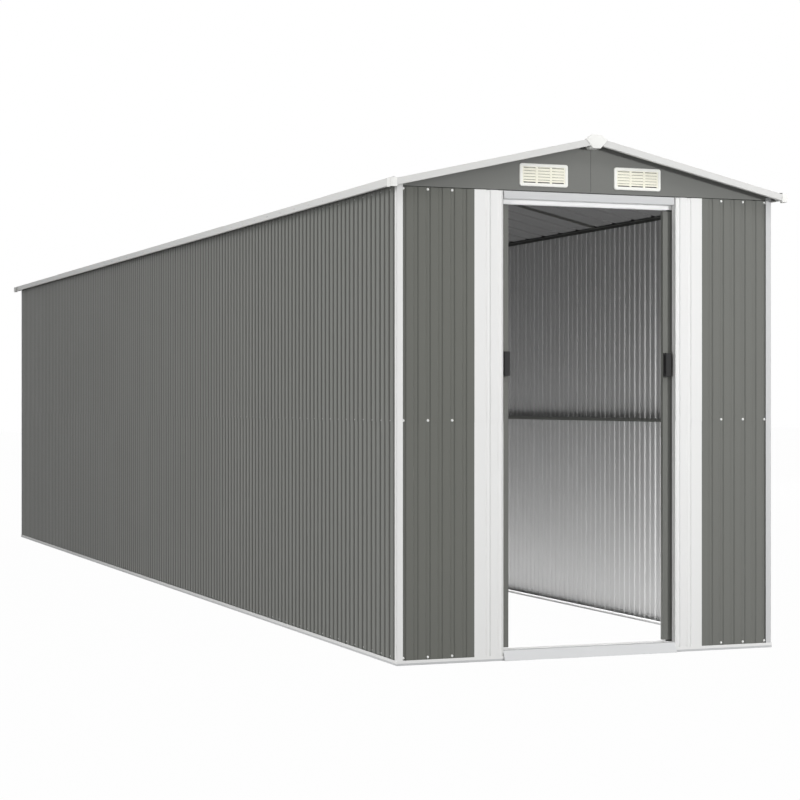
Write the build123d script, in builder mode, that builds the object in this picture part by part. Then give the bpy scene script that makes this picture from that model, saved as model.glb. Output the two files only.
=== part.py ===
from build123d import *
import math
import os

# Long metal storage shed with a low gable roof and two sliding doors in its front end.
# Millimetres. X to the right along the front, Y from front to back, Z up.
# The origin is the middle of the footprint, on the ground. The front faces -Y.

# Overall size
frame_width = 1780.0
frame_length = 8434.0
side_overhang = 47.0
end_overhang = 58.0
wall_head = 1978.5
eave_rise = 2.8
roof_slope = 0.2279

# Sheet metal and fits
sheet = 1.0
section = 1.2
seat = 0.3

# Base frame: a channel that the wall sheets stand in
rail_width = 36.0
rail_lip = 21.0
rail_inner_lip = 16.0
post_setback = 2.0
post_front_flange = 27.0
post_side_flange = 24.0

# Ribs of the wall sheets: narrow valleys between wide flats
valley_pitch = 54.5
valley_depth = 5.5
valley_floor = 15.0
valley_flank = 4.5
front_first_valley = 33.2
right_first_valley = 44.4

# Doorway in the front end
doorway_half = 408.0
jamb_panel_width = 132.0
jamb_first_valley = 14.0
jamb_return = 30.0
header_tall = 36.5
track_drop = 19.0
track_gap = 3.0
track_height = 34.0
track_depth = 28.0
track_flange = 9.0
sill_top = 45.0
sill_foot = 16.0
sill_shoulder = 8.0

# Sliding doors
door_width = 470.0
door_head_gap = 6.0
door_foot_gap = 5.0
door_depth = 20.0
door_stile = 42.0
door_rail = 40.0
door_brace_height = 1000.0
door_left_showing = 40.0
handle_height = 102.0
handle_width = 28.0
handle_depth = 26.0
handle_middle = 1248.0
handle_inset = 2.0
handle_corner = 4.0
handle_grip = 9.0
handle_plate = 7.0
handle_end = 10.0
slider_length = 44.0
slider_neck = 4.0
slider_headroom = 5.0
guide_drop = 18.0
guide_width = 12.0

# Rails and beams inside
mid_rail_height = 1005.0
mid_rail_depth = 16.0
mid_rail_tall = 17.0
mid_rail_start = 10.0
top_rail_depth = 20.0
top_rail_tall = 14.0
rafter_depth = 8.0
rafter_flange = 16.0
longest_rafter_bay = 1700.0
ridge_beam_width = 30.0
ridge_beam_tall = 35.0

# Roof sheets and trims
ridge_gap = 3.0
roof_rib_pitch = 211.0
roof_rib_height = 8.0
roof_rib_crest = 30.0
roof_rib_flank = 8.0
rake_trim_tall = 29.0
rake_trim_drop = 11.0
rake_trim_flange = 18.0
eave_trim_tall = 35.0
eave_trim_drop = 6.5
eave_trim_flange = 14.0
ridge_flange = 30.0
ridge_crown_half = 50.0
ridge_crown_flat = 20.0
ridge_crown_rise = 6.0
cap_sheet = 1.5
corner_cap_front = 28.0
corner_cap_side = 43.0
corner_cap_proud = 13.5
corner_cap_drop = 7.5
corner_cap_tall = 37.5
peak_cap_rise = 11.0
peak_cap_drop = 16.2
peak_cap_half = 51.0
peak_cap_shoulder = 20.6
peak_cap_flat = 24.0
peak_cap_foot = 18.0

# Vents in the gables
vent_width = 225.0
vent_height = 96.0
vent_offset = 222.0
vent_rise = 67.0
vent_border = 12.0
vent_thickness = 6.0
vent_corner = 10.0
vent_columns = 3
vent_rows = 6
vent_slot_width = 56.0
vent_slot_height = 5.0
vent_column_pitch = 66.0
vent_row_pitch = 12.5

# Values that follow
half_width = frame_width / 2
half_length = frame_length / 2
cap_x = -half_width - side_overhang
cap_y = -half_length - end_overhang
roof_half = half_width + side_overhang - corner_cap_proud
roof_end = half_length + end_overhang - cap_sheet
slope_angle = math.atan(roof_slope)
eave_underside = wall_head + eave_rise
apex_underside = eave_underside + roof_slope * roof_half
skin = post_setback + section
skin_inner = skin + valley_depth + sheet
wall_inner = half_width - skin_inner
roof_layer = (sheet + roof_rib_height) / math.cos(slope_angle)
header_bottom = wall_head - header_tall
track_bottom = header_bottom - track_drop
track_front = skin + jamb_return + sheet + track_gap
door_front = track_front + (track_depth - door_depth) / 2
door_leading = doorway_half - door_left_showing
door_top = track_bottom - door_head_gap
door_bottom = sill_top + door_foot_gap


def roof_underside(x):
    return apex_underside - roof_slope * abs(x)


top_rail_top = roof_underside(wall_inner) - 2 * seat
top_rail_low = top_rail_top - top_rail_tall


def save(builder, name):
    builder.part.label = name
    export_step(builder.part, f"parts/{name}.step")


def valley_line(start, end, first, pitch, floor):
    """Points (along, depth) of a sheet's outer face, from start to end, with its valleys."""
    half_top = floor / 2 + valley_flank
    points = [(start, 0.0)]
    middle = first
    while middle + half_top < end:
        if middle - half_top > start:
            points.append((middle - half_top, 0.0))
            points.append((middle - floor / 2, valley_depth))
            if floor > 0:
                points.append((middle + floor / 2, valley_depth))
            points.append((middle + half_top, 0.0))
        middle += pitch
    points.append((end, 0.0))
    return points


def folded(points, thickness):
    """Closed outline of a sheet whose outer face follows the points."""
    return points + [(along, depth + thickness) for along, depth in reversed(points)]


def upright_sheet(outline, bottom, top):
    with BuildPart() as panel:
        with BuildSketch(Plane.XY.offset(bottom)):
            with BuildLine():
                Polyline(*outline, close=True)
            make_face()
        extrude(amount=top - bottom)
    return panel


def bar_along_y(outline, y_low, y_high):
    """Bar of constant section. The outline is in X and Z."""
    with BuildPart() as bar:
        with BuildSketch(Plane.XZ.offset(-y_high)):
            with BuildLine():
                Polyline(*outline, close=True)
            make_face()
        extrude(amount=y_high - y_low)
    return bar


def bar_along_x(outline, x_low, x_high):
    """Bar of constant section. The outline is in Y and Z."""
    with BuildPart() as bar:
        with BuildSketch(Plane.YZ.offset(x_low)):
            with BuildLine():
                Polyline(*outline, close=True)
            make_face()
        extrude(amount=x_high - x_low)
    return bar


def mirrored(builder, about):
    with BuildPart() as other:
        mirror(builder.part, about=about)
    return other


def both(*builders):
    """One node of pieces that don't touch."""
    with BuildPart() as group:
        for builder in builders:
            add(builder.part)
    return group


os.makedirs("parts", exist_ok=True)


# Base rails, mitred at the corners
def channel_outline(outer, inward):
    """Channel open upwards. Its outer lip is at outer, its inner lip rail_width away."""
    step = inward * section
    inner = outer + inward * rail_width
    return [
        (outer, 0),
        (inner, 0),
        (inner, rail_inner_lip),
        (inner - step, rail_inner_lip),
        (inner - step, section),
        (outer + step, section),
        (outer + step, rail_lip),
        (outer, rail_lip),
    ]


corner = (-half_width, -half_length, 0)
front_left_mitre = Plane(origin=corner, z_dir=(1, -1, 0))
front_right_mitre = Plane(origin=(half_width, -half_length, 0), z_dir=(-1, -1, 0))
back_left_mitre = Plane(origin=(-half_width, half_length, 0), z_dir=(1, 1, 0))

with BuildPart() as rail_front:
    add(bar_along_x(channel_outline(-half_length, 1), -half_width, half_width).part)
    split(bisect_by=front_left_mitre, keep=Keep.TOP)
    split(bisect_by=front_right_mitre, keep=Keep.TOP)
save(rail_front, "rail_front")
rail_back = mirrored(rail_front, Plane.XZ)
save(rail_back, "rail_back")

with BuildPart() as rail_left:
    add(bar_along_y(channel_outline(-half_width, 1), -half_length, half_length).part)
    split(bisect_by=front_left_mitre, keep=Keep.BOTTOM)
    split(bisect_by=back_left_mitre, keep=Keep.BOTTOM)
save(rail_left, "rail_left")
rail_right = mirrored(rail_left, Plane.YZ)
save(rail_right, "rail_right")

# Corner posts: angles outside the wall sheets
post_x = -half_width + post_setback
post_y = -half_length + post_setback
post_outline = [
    (post_x, post_y),
    (post_x + post_front_flange, post_y),
    (post_x + post_front_flange, post_y + section),
    (post_x + section, post_y + section),
    (post_x + section, post_y + post_side_flange),
    (post_x, post_y + post_side_flange),
]
post_top = roof_underside(post_x) - seat
post_front_left = upright_sheet(post_outline, section, post_top)
save(post_front_left, "post_front_left")
post_front_right = mirrored(post_front_left, Plane.YZ)
save(post_front_right, "post_front_right")
post_back_left = mirrored(post_front_left, Plane.XZ)
save(post_back_left, "post_back_left")
post_back_right = mirrored(post_front_right, Plane.XZ)
save(post_back_right, "post_back_right")

# Long walls, with a plain V in each valley
long_wall_end = half_length - skin_inner - seat
long_wall_line = valley_line(
    -long_wall_end, long_wall_end, -long_wall_end + valley_pitch / 2, valley_pitch, 0.0
)
wall_left_outline = [
    (-half_width + skin + depth, along) for along, depth in folded(long_wall_line, sheet)
]
wall_left = upright_sheet(
    wall_left_outline, section, roof_underside(half_width - skin) - seat
)
save(wall_left, "wall_left")
wall_right = mirrored(wall_left, Plane.YZ)
save(wall_right, "wall_right")

# Back wall, in one sheet between the corner posts, also with plain V valleys
end_wall_reach = half_width - skin - seat
back_line = valley_line(
    -end_wall_reach, end_wall_reach, -half_width + front_first_valley, valley_pitch, 0.0
)
wall_back = upright_sheet(
    [(along, half_length - skin - depth) for along, depth in folded(back_line, sheet)],
    section,
    wall_head,
)
save(wall_back, "wall_back")

# Front wall, a ribbed sheet each side of the doorway's white panels
jamb_outer = doorway_half + jamb_panel_width


def front_sheet(start, end, first):
    line = valley_line(start, end, first, valley_pitch, valley_floor)
    outline = [(along, -half_length + skin + depth) for along, depth in folded(line, sheet)]
    return upright_sheet(outline, section, wall_head)


front_wall_left = front_sheet(
    -end_wall_reach, -jamb_outer, -half_width + front_first_valley
)
save(front_wall_left, "front_wall_left")
front_wall_right = front_sheet(
    jamb_outer, end_wall_reach, jamb_outer + right_first_valley
)
save(front_wall_right, "front_wall_right")

# White panels beside the doorway, each with its edge turned back towards the doors
jamb_line = valley_line(
    doorway_half, jamb_outer, doorway_half + jamb_first_valley, valley_pitch, valley_floor
)
jamb_outline = [
    (-along, -half_length + skin + depth) for along, depth in folded(jamb_line, sheet)
]
jamb_return_outline = [
    (-doorway_half - sheet, -half_length + skin),
    (-doorway_half, -half_length + skin),
    (-doorway_half, -half_length + skin + jamb_return),
    (-doorway_half - sheet, -half_length + skin + jamb_return),
]
with BuildPart() as jamb_panel_left:
    add(upright_sheet(jamb_outline, section, wall_head).part)
    add(upright_sheet(jamb_return_outline, section, top_rail_low - seat).part)
save(jamb_panel_left, "jamb_panel_left")
jamb_panel_right = mirrored(jamb_panel_left, Plane.YZ)
save(jamb_panel_right, "jamb_panel_right")

# Gables: two flat sheets a side, standing on the wall sheets
gable_face = -half_length + skin
gable_reach = half_width - skin - seat
vent_middle = wall_head + vent_rise


def gable_half():
    with BuildPart() as gable:
        with BuildSketch(Plane.XZ.offset(-gable_face)):
            with BuildLine():
                Polyline(
                    (-gable_reach, wall_head),
                    (-seat, wall_head),
                    (-seat, roof_underside(seat) - seat),
                    (-gable_reach, roof_underside(gable_reach) - seat),
                    close=True,
                )
            make_face()
            with Locations((-vent_offset, vent_middle)):
                Rectangle(
                    vent_width - 2 * vent_border,
                    vent_height - 2 * vent_border,
                    mode=Mode.SUBTRACT,
                )
        extrude(amount=-sheet)
    return gable


front_half = gable_half()
gable_front = both(front_half, mirrored(front_half, Plane.YZ))
save(gable_front, "gable_front")
save(mirrored(gable_front, Plane.XZ), "gable_back")

# Vents: a raised frame round three columns of slots
with BuildPart() as vent:
    with BuildSketch(Plane.XZ.offset(-gable_face)):
        with Locations((-vent_offset, vent_middle)):
            plate = Rectangle(vent_width, vent_height)
            chamfer(plate.vertices(), length=vent_corner)
            with GridLocations(vent_column_pitch, vent_row_pitch, vent_columns, vent_rows):
                Rectangle(vent_slot_width, vent_slot_height, mode=Mode.SUBTRACT)
    extrude(amount=vent_thickness)
front_vents = both(vent, mirrored(vent, Plane.YZ))
gable_vents = both(front_vents, mirrored(front_vents, Plane.XZ))
save(gable_vents, "gable_vents")

# Header over the doorway, turned back at its foot to the door track
header_outline = [
    (-half_length + skin, header_bottom),
    (-half_length + track_front - seat, header_bottom),
    (-half_length + track_front - seat, header_bottom + section),
    (-half_length + skin + section, header_bottom + section),
    (-half_length + skin + section, wall_head),
    (-half_length + skin, wall_head),
]
door_header = bar_along_x(header_outline, -doorway_half + seat, doorway_half - seat)
save(door_header, "door_header")

# Door track: a channel open downwards, with turned-in flanges that carry the sliders
track_y = -half_length + track_front
track_top = track_bottom + track_height
track_outline = [
    (track_y, track_bottom),
    (track_y + track_flange, track_bottom),
    (track_y + track_flange, track_bottom + section),
    (track_y + section, track_bottom + section),
    (track_y + section, track_top - section),
    (track_y + track_depth - section, track_top - section),
    (track_y + track_depth - section, track_bottom + section),
    (track_y + track_depth - track_flange, track_bottom + section),
    (track_y + track_depth - track_flange, track_bottom),
    (track_y + track_depth, track_bottom),
    (track_y + track_depth, track_top),
    (track_y, track_top),
]
door_track = bar_along_x(track_outline, -wall_inner + seat, wall_inner - seat)
save(door_track, "door_track")

# Floor track: a channel open upwards that keeps the doors' feet in line
floor_lip = sill_top - section
floor_track_outline = [
    (track_y, 0),
    (track_y + track_depth, 0),
    (track_y + track_depth, floor_lip),
    (track_y + track_depth - section, floor_lip),
    (track_y + track_depth - section, section),
    (track_y + section, section),
    (track_y + section, floor_lip),
    (track_y, floor_lip),
]
floor_track_end = half_width - rail_width - seat
floor_track = bar_along_x(floor_track_outline, -floor_track_end, floor_track_end)
save(floor_track, "floor_track")

# Sill: a ramp over the front rail, resting on the floor track
sill_y = -half_length
sill_outline = [
    (sill_y - sill_foot, 0),
    (sill_y - sill_foot + section, 0),
    (sill_y + sill_shoulder, sill_top - section),
    (track_y + section, sill_top - section),
    (track_y + section, sill_top),
    (sill_y + sill_shoulder - section / 2, sill_top),
]
sill_end = doorway_half - seat
sill_rail_side = sill_y - seat
sill_reach = sill_foot + sill_shoulder - section
sill_under_rail_side = (sill_foot - section - seat) / sill_reach * (sill_top - section)
gusset_outline = [
    (sill_y - sill_foot + section, 0),
    (sill_rail_side, 0),
    (sill_rail_side, sill_under_rail_side),
]
sill_gusset = bar_along_x(gusset_outline, -sill_end, -sill_end + section)
with BuildPart() as door_sill:
    add(bar_along_x(sill_outline, -sill_end, sill_end).part)
    add(sill_gusset.part)
    add(mirrored(sill_gusset, Plane.YZ).part)
save(door_sill, "door_sill")

# Rails inside: a mid rail on the long walls and the back, and rails at the wall head
mid_low = mid_rail_height - mid_rail_tall


def angle_outline(outer, depth, low, high):
    """Angle with its flat against the wall and its shelf at the top."""
    inward = math.copysign(1.0, depth)
    return [
        (outer, low),
        (outer + inward * section, low),
        (outer + inward * section, high - section),
        (outer + depth, high - section),
        (outer + depth, high),
        (outer, high),
    ]


back_inner = half_length - skin_inner
mid_left = bar_along_y(
    angle_outline(-wall_inner, mid_rail_depth, mid_low, mid_rail_height),
    -half_length + track_front + track_depth + mid_rail_start,
    back_inner - mid_rail_depth - seat,
)
mid_back = bar_along_x(
    angle_outline(back_inner, -mid_rail_depth, mid_low, mid_rail_height),
    -wall_inner + seat,
    wall_inner - seat,
)
mid_rails = both(mid_left, mirrored(mid_left, Plane.YZ), mid_back)
save(mid_rails, "mid_rails")

top_left = bar_along_y(
    angle_outline(-wall_inner, top_rail_depth, top_rail_low, top_rail_top),
    -back_inner + seat,
    back_inner - seat,
)
top_front = bar_along_x(
    angle_outline(-back_inner, top_rail_depth, top_rail_low, top_rail_top),
    -wall_inner + top_rail_depth + seat,
    wall_inner - top_rail_depth - seat,
)
top_rails = both(
    top_left, mirrored(top_left, Plane.YZ), top_front, mirrored(top_front, Plane.XZ)
)
save(top_rails, "top_rails")

# Ridge beam and rafters under the roof sheets
beam_half = ridge_beam_width / 2
beam_top = roof_underside(beam_half) - seat
beam_low = beam_top - ridge_beam_tall
beam_outline = [
    (-beam_half, beam_low),
    (beam_half, beam_low),
    (beam_half, beam_top),
    (beam_half - section, beam_top),
    (beam_half - section, beam_low + section),
    (-beam_half + section, beam_low + section),
    (-beam_half + section, beam_top),
    (-beam_half, beam_top),
]
beam_end = half_length - skin - sheet - seat
ridge_beam = bar_along_y(beam_outline, -beam_end, beam_end)
save(ridge_beam, "ridge_beam")

rafter_rows = math.ceil(frame_length / longest_rafter_bay) - 1
rafter_spacing = frame_length / (rafter_rows + 1)
rafter_first = -half_length + rafter_spacing
rafter_inner = beam_half + seat
rafter_outer = wall_inner - top_rail_depth - seat


def rafter(y):
    """Angle under the left roof sheet: an upright web with a flange against the sheet."""
    with BuildPart() as angle:
        with BuildSketch(Plane.XZ.offset(-y)):
            with BuildLine():
                Polyline(
                    (-rafter_outer, roof_underside(rafter_outer) - seat),
                    (-rafter_inner, roof_underside(rafter_inner) - seat),
                    (-rafter_inner, roof_underside(rafter_inner) - seat - rafter_depth),
                    (-rafter_outer, roof_underside(rafter_outer) - seat - rafter_depth),
                    close=True,
                )
            make_face()
        extrude(amount=-section)
        with BuildSketch(Plane.XZ.offset(-y - section)):
            with BuildLine():
                Polyline(
                    (-rafter_outer, roof_underside(rafter_outer) - seat),
                    (-rafter_inner, roof_underside(rafter_inner) - seat),
                    (-rafter_inner, roof_underside(rafter_inner) - seat - section),
                    (-rafter_outer, roof_underside(rafter_outer) - seat - section),
                    close=True,
                )
            make_face()
        extrude(amount=-(rafter_flange - section))
    return angle


left_rafters = [rafter(rafter_first + row * rafter_spacing) for row in range(rafter_rows)]
rafters = both(*left_rafters, *[mirrored(angle, Plane.YZ) for angle in left_rafters])
save(rafters, "rafters")

# Roof sheets, their ribs running down the slope
slope_down = (-math.cos(slope_angle), 0, -math.sin(slope_angle))
roof_start = Plane(
    origin=(-ridge_gap, 0, roof_underside(ridge_gap)), x_dir=(0, -1, 0), z_dir=slope_down
)
roof_run = (roof_half - section - ridge_gap - seat) / math.cos(slope_angle)
roof_run -= (roof_rib_height + sheet) * math.tan(slope_angle)
roof_sheet_end = roof_end - section


def roof_rib_line():
    """Points (along, height) of the roof sheet's upper face."""
    count = int((2 * roof_sheet_end - roof_rib_crest - 2 * roof_rib_flank) // roof_rib_pitch) + 1
    first = -(count - 1) / 2 * roof_rib_pitch
    points = [(-roof_sheet_end, sheet)]
    for rib in range(count):
        middle = first + rib * roof_rib_pitch
        foot = roof_rib_crest / 2 + roof_rib_flank
        crest = roof_rib_crest / 2
        points.append((middle - foot, sheet))
        points.append((middle - crest, sheet + roof_rib_height))
        points.append((middle + crest, sheet + roof_rib_height))
        points.append((middle + foot, sheet))
    points.append((roof_sheet_end, sheet))
    return points


with BuildPart() as roof_left:
    with BuildSketch(roof_start):
        with BuildLine():
            Polyline(*folded(roof_rib_line(), -sheet), close=True)
        make_face()
    extrude(amount=roof_run)
save(roof_left, "roof_left")
roof_right = mirrored(roof_left, Plane.YZ)
save(roof_right, "roof_right")

# Ridge cap: a raised crown with a flange on the ribs each side
rib_top = apex_underside + roof_layer + seat


def rib_top_at(x):
    return rib_top - roof_slope * abs(x)


flange_edge = ridge_crown_half + ridge_flange
crown_top = rib_top + ridge_crown_rise
ridge_half = [
    (flange_edge, rib_top_at(flange_edge)),
    (ridge_crown_half, rib_top_at(ridge_crown_half)),
    (ridge_crown_flat, crown_top - section),
]
ridge_upper = [
    (ridge_crown_flat, crown_top),
    (ridge_crown_half, rib_top_at(ridge_crown_half) + section),
    (flange_edge, rib_top_at(flange_edge) + section),
]
ridge_outline = (
    ridge_half
    + [(-x, z) for x, z in reversed(ridge_half)]
    + [(-x, z) for x, z in reversed(ridge_upper)]
    + ridge_upper
)
ridge_cap_end = roof_end - rake_trim_flange - seat
ridge_cap = bar_along_y(ridge_outline, -ridge_cap_end, ridge_cap_end)
save(ridge_cap, "ridge_cap")

# Eave trims: channels along the long edges, open towards the roof sheet
eave_low = eave_underside - eave_trim_drop
eave_high = eave_low + eave_trim_tall
eave_outline = [
    (-roof_half, eave_low),
    (-roof_half + eave_trim_flange, eave_low),
    (-roof_half + eave_trim_flange, eave_low + section),
    (-roof_half + section, eave_low + section),
    (-roof_half + section, eave_high - section),
    (-roof_half + eave_trim_flange, eave_high - section),
    (-roof_half + eave_trim_flange, eave_high),
    (-roof_half, eave_high),
]
eave_trim_end = roof_end - rake_trim_flange - seat
eave_left = bar_along_y(eave_outline, -eave_trim_end, eave_trim_end)
eave_trims = both(eave_left, mirrored(eave_left, Plane.YZ))
save(eave_trims, "eave_trims")

# Rake trims: channels up the gable edges, open towards the roof sheet
rake_start = Plane(
    origin=(-ridge_gap, 0, roof_underside(ridge_gap)), x_dir=(0, -1, 0), z_dir=slope_down
)
rake_low = -rake_trim_drop
rake_high = rake_low + rake_trim_tall
rake_outline = [
    (roof_end, rake_low),
    (roof_end, rake_high),
    (roof_end - rake_trim_flange, rake_high),
    (roof_end - rake_trim_flange, rake_high - section),
    (roof_end - section, rake_high - section),
    (roof_end - section, rake_low + section),
    (roof_end - rake_trim_flange, rake_low + section),
    (roof_end - rake_trim_flange, rake_low),
]
rake_run = (roof_half - section - ridge_gap - seat) / math.cos(slope_angle)
rake_run -= rake_high * math.tan(slope_angle)
with BuildPart() as rake_left:
    with BuildSketch(rake_start):
        with BuildLine():
            Polyline(*rake_outline, close=True)
        make_face()
    extrude(amount=rake_run)
rake_pair = both(rake_left, mirrored(rake_left, Plane.YZ))
rake_trims = both(rake_pair, mirrored(rake_pair, Plane.XZ))
save(rake_trims, "rake_trims")

# Peak caps: a six-sided cap over the meeting trims, with a foot back to the gable
trim_upper = apex_underside + rake_high / math.cos(slope_angle) + seat
trim_lower = apex_underside + rake_low / math.cos(slope_angle) - seat
peak_height = trim_upper + peak_cap_rise
peak_low = trim_lower - peak_cap_drop
peak_outline = [
    (-peak_cap_flat, peak_height),
    (-peak_cap_half, peak_height - peak_cap_shoulder),
    (-peak_cap_foot, peak_low),
    (peak_cap_foot, peak_low),
    (peak_cap_half, peak_height - peak_cap_shoulder),
    (peak_cap_flat, peak_height),
]
trim_gap = [
    (0, trim_upper),
    (-roof_half, trim_upper - roof_slope * roof_half),
    (-roof_half, trim_lower - roof_slope * roof_half),
    (0, trim_lower),
    (roof_half, trim_lower - roof_slope * roof_half),
    (roof_half, trim_upper - roof_slope * roof_half),
]
above_trims = [
    (-roof_half, trim_upper - roof_slope * roof_half),
    (0, trim_upper),
    (roof_half, trim_upper - roof_slope * roof_half),
    (roof_half, peak_height),
    (-roof_half, peak_height),
]

with BuildPart() as peak_cap:
    with BuildSketch(Plane.XZ.offset(roof_end)):
        with BuildLine():
            Polyline(*peak_outline, close=True)
        make_face()
    extrude(amount=cap_sheet)
    with BuildSketch(Plane.XZ.offset(roof_end)):
        with BuildLine():
            Polyline(*peak_outline, close=True)
        make_face()
        with BuildLine():
            Polyline(*trim_gap, close=True)
        make_face(mode=Mode.SUBTRACT)
    extrude(amount=-rake_trim_flange)
    with BuildSketch(Plane.XZ.offset(roof_end)):
        with BuildLine():
            Polyline(*peak_outline, close=True)
        make_face()
        with BuildLine():
            Polyline(*trim_gap, close=True)
        make_face(mode=Mode.SUBTRACT)
        with BuildLine():
            Polyline(*above_trims, close=True)
        make_face(mode=Mode.SUBTRACT)
    extrude(amount=-(roof_end + gable_face - seat))
peak_caps = both(peak_cap, mirrored(peak_cap, Plane.XZ))
save(peak_caps, "peak_caps")

# Corner caps: hollow, proud of the eave trims, closed at the back against them
cap_outline = [
    (cap_x, cap_y),
    (cap_x + corner_cap_front, cap_y),
    (cap_x + corner_cap_front, cap_y + cap_sheet),
    (cap_x + cap_sheet, cap_y + cap_sheet),
    (cap_x + cap_sheet, cap_y + corner_cap_side - cap_sheet),
    (-roof_half, cap_y + corner_cap_side - cap_sheet),
    (-roof_half, cap_y + corner_cap_side),
    (cap_x, cap_y + corner_cap_side),
]
corner_cap_low = eave_low - corner_cap_drop
corner_cap = upright_sheet(cap_outline, corner_cap_low, corner_cap_low + corner_cap_tall)
corner_pair = both(corner_cap, mirrored(corner_cap, Plane.YZ))
corner_caps = both(corner_pair, mirrored(corner_pair, Plane.XZ))
save(corner_caps, "corner_caps")

# Left door, drawn at rest behind the front wall
door_y = -half_length + door_front
leaf_left = -door_leading - door_width
leaf_right = -door_leading
leaf_middle = (leaf_left + leaf_right) / 2
leaf_tall = door_top - door_bottom
leaf_z = (door_top + door_bottom) / 2

with BuildPart() as door_frame:
    with BuildSketch(Plane.XZ.offset(-door_y)):
        with Locations((leaf_middle, leaf_z)):
            Rectangle(door_width, leaf_tall)
    extrude(amount=-door_depth)
    with BuildSketch(Plane.XZ.offset(-door_y - section)):
        with Locations((leaf_middle, leaf_z)):
            Rectangle(door_width - 2 * section, leaf_tall - 2 * section)
    extrude(amount=-(door_depth - section), mode=Mode.SUBTRACT)
    with BuildSketch(Plane.XZ.offset(-door_y)):
        with Locations((leaf_middle, (door_bottom + door_brace_height) / 2)):
            Rectangle(
                door_width - 2 * door_stile,
                door_brace_height - door_bottom - 1.5 * door_rail,
            )
        with Locations((leaf_middle, (door_top + door_brace_height) / 2)):
            Rectangle(
                door_width - 2 * door_stile,
                door_top - door_brace_height - 1.5 * door_rail,
            )
    extrude(amount=-section, mode=Mode.SUBTRACT)
save(door_frame, "door_left_frame")
save(mirrored(door_frame, Plane.YZ), "door_right_frame")

door_line = valley_line(
    leaf_left + section + seat,
    leaf_right - section - seat,
    leaf_left + valley_pitch / 2,
    valley_pitch,
    0.0,
)
door_sheet = upright_sheet(
    [(along, door_y + section + depth) for along, depth in folded(door_line, sheet)],
    door_bottom + section + seat,
    door_top - section - seat,
)
save(door_sheet, "door_left_sheet")
save(mirrored(door_sheet, Plane.YZ), "door_right_sheet")

# Handle on the leading stile: a block with a finger grip hollowed in each side
handle_x = leaf_right - handle_inset - handle_width / 2
with BuildPart() as handle:
    with BuildSketch(Plane.XY.offset(handle_middle - handle_height / 2)):
        with Locations((handle_x, door_y - handle_depth / 2)):
            Rectangle(handle_width, handle_depth)
    extrude(amount=handle_height)
    fillet(handle.edges().filter_by(Axis.Z).group_by(Axis.Y)[0], radius=handle_corner)
    with BuildSketch(Plane.XY.offset(handle_middle - handle_height / 2 + handle_end)):
        with Locations(
            (handle_x - (handle_width - handle_grip) / 2, door_y - handle_depth / 2),
            (handle_x + (handle_width - handle_grip) / 2, door_y - handle_depth / 2),
        ):
            Rectangle(handle_grip, handle_depth - 2 * handle_plate)
    extrude(amount=handle_height - 2 * handle_end, mode=Mode.SUBTRACT)
save(handle, "door_left_handle")
save(mirrored(handle, Plane.YZ), "door_right_handle")

# Sliders in the door track and guides in the floor track
track_middle = track_y + track_depth / 2
slider_low = track_bottom + section + seat
slider_high = track_top - section - slider_headroom
slider_width = track_depth - 2 * section - 2 * seat


def box_between(low, high):
    with BuildPart() as block:
        with BuildSketch(Plane.XY.offset(low[2])):
            with Locations(((low[0] + high[0]) / 2, (low[1] + high[1]) / 2)):
                Rectangle(high[0] - low[0], high[1] - low[1])
        extrude(amount=high[2] - low[2])
    return block


def slider(x):
    with BuildPart() as hanger:
        with BuildSketch(Plane.XY.offset(door_top)):
            with Locations((x, track_middle)):
                Rectangle(slider_length, slider_neck)
        extrude(amount=slider_high - door_top)
        with BuildSketch(Plane.XY.offset(slider_low)):
            with Locations((x, track_middle)):
                Rectangle(slider_length, slider_width)
        extrude(amount=slider_high - slider_low)
    return hanger


def guide(x):
    return box_between(
        (x - slider_length / 2, track_middle - guide_width / 2, door_bottom - guide_drop),
        (x + slider_length / 2, track_middle + guide_width / 2, door_bottom),
    )


slider_places = [leaf_left + slider_length, leaf_right - slider_length]
door_sliders = both(
    *[slider(x) for x in slider_places], *[guide(x) for x in slider_places]
)
save(door_sliders, "door_left_sliders")
save(mirrored(door_sliders, Plane.YZ), "door_right_sliders")
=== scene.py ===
import math

import bmesh
import bpy
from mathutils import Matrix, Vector


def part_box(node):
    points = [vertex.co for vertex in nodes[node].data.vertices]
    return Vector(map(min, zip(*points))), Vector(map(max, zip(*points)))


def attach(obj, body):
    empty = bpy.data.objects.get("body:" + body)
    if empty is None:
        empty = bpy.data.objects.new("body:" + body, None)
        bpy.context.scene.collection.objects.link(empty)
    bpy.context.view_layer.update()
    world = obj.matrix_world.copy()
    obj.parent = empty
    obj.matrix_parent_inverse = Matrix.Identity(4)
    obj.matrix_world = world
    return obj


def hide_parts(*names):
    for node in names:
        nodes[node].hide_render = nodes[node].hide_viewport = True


# Long metal storage shed: ribbed grey sheets, white folded trims, two sliding doors.
# Metres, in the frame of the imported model: X right, Y from the doorway to the back, Z up.
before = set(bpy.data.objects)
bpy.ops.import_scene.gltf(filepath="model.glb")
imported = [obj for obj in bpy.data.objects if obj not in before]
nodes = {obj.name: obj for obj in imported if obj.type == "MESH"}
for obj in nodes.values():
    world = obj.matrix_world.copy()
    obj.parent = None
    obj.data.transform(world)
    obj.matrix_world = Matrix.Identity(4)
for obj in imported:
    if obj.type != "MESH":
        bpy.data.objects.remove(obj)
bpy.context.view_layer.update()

MM = 0.001

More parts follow.
